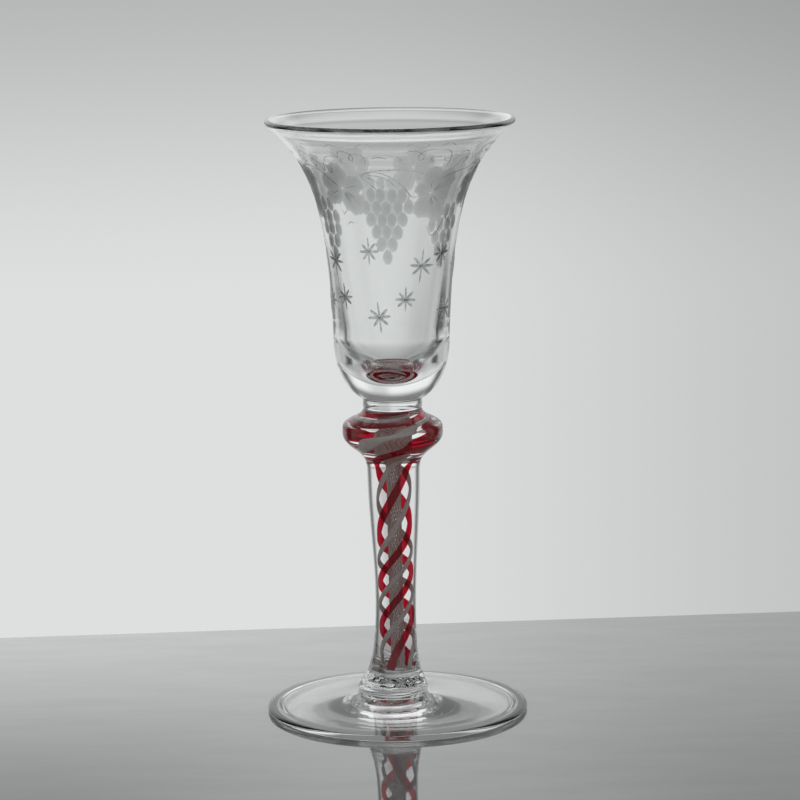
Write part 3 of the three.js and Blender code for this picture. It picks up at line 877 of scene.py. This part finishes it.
class EngraveLines(bpy.types.Operator):
    """Lays the vine's stems, tendrils and scratches, and the stars, on the bowl as thin ridges"""

    bl_idname = "wine_glass.lines"
    bl_label = "Engraved lines"

    def execute(self, context):
        stems = [scored(path, 0.15 * MM, 36) for path in VINES]
        stems += [scored(path, 0.13 * MM, 10 * len(path)) for path in TENDRILS]
        random = np.random.default_rng(8)
        mm_per_degree = 0.39
        for degrees, level, _, scratches in LEAVES:
            for aim in np.radians(scratches):
                direction = [math.cos(aim) / mm_per_degree, math.sin(aim)]
                ends = np.array([[1.2], [random.uniform(3.4, 4.6)]]) * direction
                stems.append(scored(ends + [degrees, level], 0.09 * MM, 8))
        rays = []
        start, rise = bell_span()
        for degrees, level, half in STARS:
            radius = bowl_outside((level * MM - start) / rise)[0] / MM
            lean = random.normal(0, 0.05)
            for ray in range(8):
                reach, width = RAYS[ray % 4]
                aim = ray * math.pi / 4 + lean + random.normal(0, 0.05)
                length = half * reach * random.uniform(0.9, 1.06)
                across, up = length * math.cos(aim), length * math.sin(aim)
                tip = (degrees + math.degrees(across / radius), level + up)
                rays.append(scored([(degrees, level), tip], width * MM, 9))
        material = cut_material()
        for name, bodies in (("engraved_stems", stems), ("engraved_stars", rays)):
            vertices, faces = joined(bodies)
            piece = add_piece(name, leaned(vertices), faces, range(len(faces)))
            dress(piece, [material], [])
        return {"FINISHED"}


class BuildBowl(bpy.types.Operator):
    """Turns the bell bowl with its neck, solid base, wall and rounded lip"""

    bl_idname = "wine_glass.bowl"
    bl_label = "Bowl"

    def execute(self, context):
        sizes = context.scene.glass_sizes
        neck_top, (body_start, flare) = JOINT_BOWL + 3.1 * MM, bell_span()
        neck = np.stack([np.full(5, sizes.neck_radius), np.linspace(JOINT_BOWL, neck_top, 6)[:-1]], -1)
        # The rounded base widens by 1 - (1 - t)^2.1 while it rises by t^1.33.
        rise = np.linspace(0, 1, 44)[:-1]
        base_radius = mix(sizes.neck_radius, sizes.body_radius, 1 - (1 - rise) ** 2.1)
        base = np.stack([base_radius, mix(neck_top, body_start, rise**1.33)], -1)
        # The engraved band has closer rings and twice the sides, for the outlines of leaves and grapes.
        sides, plain_rings, band_rings = 224, 17, 104
        low, high = (ENGRAVED_BAND - body_start) / flare
        share = np.concatenate([
            np.linspace(0, low, plain_rings + 1)[:-1],
            np.linspace(low, high, band_rings),
            mix(high, 1, np.linspace(0, 1, 20) ** 0.8)[1:],
        ])
        outside = np.stack(bowl_outside(share), -1)[:-1]
        lip_start = math.atan2(*bowl_normal(np.array(1))[::-1])
        arc = np.linspace(lip_start, lip_start + math.pi, 20)
        rim = np.array([RIM_RADIUS - LIP, RIM_TOP - LIP]) + LIP * np.stack([np.cos(arc), np.sin(arc)], -1)
        # The inside: the bell's own curve less the wall, and a quarter ellipse at its bottom.
        cavity_bottom = JOINT_BOWL + sizes.cavity_depth
        round_share = (cavity_bottom + 11.9 * MM - body_start) / flare
        inner_share = mix(round_share, 1, np.linspace(0, 1, 60) ** 0.8)[::-1][1:]
        radius, height = bowl_outside(inner_share)
        across, up = bowl_normal(inner_share)
        wall = bowl_wall(inner_share, round_share)
        inside = np.stack([radius - wall * across, height - wall * up], -1)
        turn = np.linspace(0, math.pi / 2, 40)[1:]
        bottom_height = mix(inside[-1, 1], cavity_bottom, np.sin(turn))
        bottom = np.stack([inside[-1, 0] * np.cos(turn), bottom_height], -1)
        bottom[-1, 0] = 0
        profile = np.concatenate([[[0, JOINT_BOWL]], neck, base, outside, rim, inside, bottom])

        lower = len(neck) + len(base)
        upper = lower + len(outside)
        ground = []

        def wobble(angle, radius, height, ring):
            depth = engraved(angle + math.pi / 2, radius, height) * ((ring >= lower) & (ring < upper))
            ground.append(depth)
            return radius + bowl_waves(angle, height) - joint_groove(height) - CUT_DEPTH * depth, height

        band = (lower + plain_rings, lower + plain_rings + band_rings)
        vertices, faces, wall_faces = turned(profile, sides, wobble, band)
        joint = range(wall_faces, wall_faces + sides)
        piece = add_piece("clear_bowl", leaned(vertices), faces, joints=joint)
        frosting = piece.data.attributes.new("ground", "FLOAT", "POINT")
        matt = smoothstep(ground[0], 0, 0.2) * mix(0.78, 1, smoothstep(ground[0], 0.5, 1))
        frosting.data.foreach_set("value", np.append(matt, [0, 0]))
        dress(piece, [engraved_material(), bpy.data.materials["fused_joint"]], ["bowl"])
        return {"FINISHED"}


# Stage

# The camera: width of the picture and focal length in pixels, place in metres, tilt and roll in degrees.
PHOTO_PIXELS, FOCAL_PIXELS = 800, 3356
EYE = (1.66 * MM, -0.931, 0.2518)
TILT, ROLL = 9.9, 0.66


def build_backdrop(scene):
    """A softly lit pale backdrop round the glass, by direction: brightest behind it, greyer in front and
    below, dark overhead, and with dark flags at its four diagonals, which draw the edges of the glass."""
    world = bpy.data.worlds.new("backdrop")
    scene.world = world
    world.use_nodes = True
    tree = world.node_tree
    x, y, z = coordinates(tree, "Generated")
    # Degrees round from straight behind the glass, degrees over the horizon, and degrees off the two sides.
    around = times(computed("ARCTAN2", x, y), math.degrees(1))
    up = times(computed("ARCSINE", z), math.degrees(1))
    aside = computed("ABSOLUTE", around)
    from_side = computed("ABSOLUTE", less(aside, 90))

    behind = stepped(plus(times(y, 0.985), times(z, 0.17)), 0, 0.62)
    colour = blended(behind, (0.5, 0.505, 0.505), (0.73, 0.745, 0.74))
    high = times(stepped(up, -1, 8), hump(around, (-70, -35), (35, 70)))
    colour = blended(high, colour, (0.95, 0.96, 0.96))

    # A greyer band along the table's far edge, and a soft shade to the right of the glass.
    level = times(hump(up, (-8.5, -1.5), (-2.5, 2), 0.4), stepped(behind, 0.6, 1))
    side = hump(around, (-2, 9), (14, 30), 0.27)
    colour = blended(times(less(1, level), less(1, side)), (0, 0, 0), colour)

    # Dark flags at the diagonals, and wider ones low down. They are fainter where the camera sees them.
    light_path = tree.nodes.new("ShaderNodeLightPath")
    shown = less(1, times(light_path.outputs["Is Camera Ray"], 0.3))
    flags = hump(from_side, (10, 24), (32, 48), 0.92)
    colour = blended(times(flags, shown), colour, (0.03, 0.03, 0.03))
    low = times(stepped(up, -26, -12, 1, 0), stepped(around, -6, 6, 0.65, 0.95))
    low = times(times(low, stepped(aside, 16, 32)), stepped(from_side, 10, 24))
    colour = blended(times(low, shown), colour, (0.02, 0.02, 0.02))

    colour = blended(stepped(up, 26, 40), colour, (0.22, 0.22, 0.225))
    colour = blended(stepped(up, -42, -16, 0.42, 0), colour, (0.03, 0.03, 0.03))
    plug(tree.nodes["Background"], {"Color": colour})


def table_material():
    """A pale grey glossy table top with painted light and shade: painted greyer round the glass and most of
    all in front of it, and paler behind it towards the left, as the backdrop's light falls off, with fine
    specks and faint smears."""
    material, tree, shader = principled("pale_table")
    across, away, _ = coordinates(tree, "Object")
    # Painted light and shade: darker in front of the glass, paler behind it and most of all behind it on the
    # left, and 0.75 far out, standing in for the backdrop's light falling off.
    front = times(stepped(across, -0.1, 0, 0.18, 0.36), stepped(across, 0.02, 0.1, 1, 0.75))
    back = stepped(across, -0.12, 0.12, 0.78, 0.52)
    tone = between(stepped(away, -0.1, 0.1), front, back)
    out = computed("SQRT", plus(times(across, across), times(away, away)))
    tone = between(stepped(out, 0.17, 0.4), tone, 0.75)
    smears = stepped(object_noise(tree, 28, 4, (1, 3.5, 1)), 0.25, 0.75, 0.94, 1.05)
    tint = blended(times(tone, smears), (0, 0, 0), (1, 1.01, 1.01))
    rough = stepped(object_noise(tree, 220), 0.3, 0.7, 0.015, 0.05, "LINEAR")
    plug(shader, {"Base Color": tint, "Roughness": rough, "Metallic": 0.35})
    return material


class BuildStage(bpy.types.Operator):
    """Lays the table, lights the set and places the camera"""

    bl_idname = "wine_glass.stage"
    bl_label = "Stage"

    def execute(self, context):
        scene = context.scene
        # The table ends behind the glass in a slightly askew edge.
        back, side, front, thickness, askew = 0.0995, 2.4, -2.6, 0.03, math.radians(5.2)
        slope = side * math.tan(askew)
        corners = [(-side, back - slope), (side, back + slope), (side, front), (-side, front)]
        top = np.array([(*corner, 0) for corner in corners])
        under = top - [0, 0, thickness]
        faces = [[0, 3, 2, 1], [4, 5, 6, 7], [0, 1, 5, 4], [1, 2, 6, 5], [2, 3, 7, 6], [3, 0, 4, 7]]
        table = add_piece("table", np.concatenate([top, under]), faces, range(len(faces)))
        table.data.materials.append(table_material())

        build_backdrop(scene)

        camera = bpy.data.cameras.new("camera")
        camera.sensor_width = 36.0
        camera.lens = FOCAL_PIXELS / PHOTO_PIXELS * camera.sensor_width
        camera.clip_start = 0.05
        camera.clip_end = 20.0
        eye = bpy.data.objects.new("camera", camera)
        scene.collection.objects.link(eye)
        tilt = Matrix.Rotation(math.radians(90 - TILT), 4, "X")
        roll = Matrix.Rotation(math.radians(-ROLL), 4, "Z")
        eye.matrix_world = Matrix.Translation(EYE) @ tilt @ roll
        scene.camera = eye
        scene.view_settings.view_transform = "Standard"
        scene.cycles.max_bounces = 24
        scene.cycles.transmission_bounces = 24
        scene.cycles.glossy_bounces = 12
        scene.cycles.transparent_max_bounces = 32
        return {"FINISHED"}


class GlassPanel(bpy.types.Panel):
    """Lists the sizes, colours and steps of the wine glass"""

    bl_idname = "VIEW3D_PT_wine_glass"
    bl_label = "Wine glass"
    bl_space_type = "VIEW_3D"
    bl_region_type = "UI"
    bl_category = "Wine glass"

    def draw(self, context):
        for group in (context.scene.glass_sizes, context.scene.glass_colours):
            for name in group.bl_rna.properties.keys():
                if name not in ("rna_type", "name"):
                    self.layout.prop(group, name)
        for operator in OPERATORS:
            self.layout.operator(operator.bl_idname)


OPERATORS = (BuildFoot, BuildStem, BuildTapes, BuildGauze, BuildBowl, EngraveLines, BuildStage)


def register():
    """Adds the classes and the scene's sizes and colours."""
    for item in (GlassSizes, GlassColours, *OPERATORS, GlassPanel):
        bpy.utils.register_class(item)
    bpy.types.Scene.glass_sizes = bpy.props.PointerProperty(type=GlassSizes)
    bpy.types.Scene.glass_colours = bpy.props.PointerProperty(type=GlassColours)


def unregister():
    """Takes away what register adds."""
    del bpy.types.Scene.glass_colours
    del bpy.types.Scene.glass_sizes
    for item in (GlassPanel, *OPERATORS[::-1], GlassColours, GlassSizes):
        bpy.utils.unregister_class(item)


def main():
    """Runs every step in order."""
    register()
    for operator in OPERATORS:
        group, name = operator.bl_idname.split(".")
        getattr(getattr(bpy.ops, group), name)()


if __name__ == "__main__":
    main()
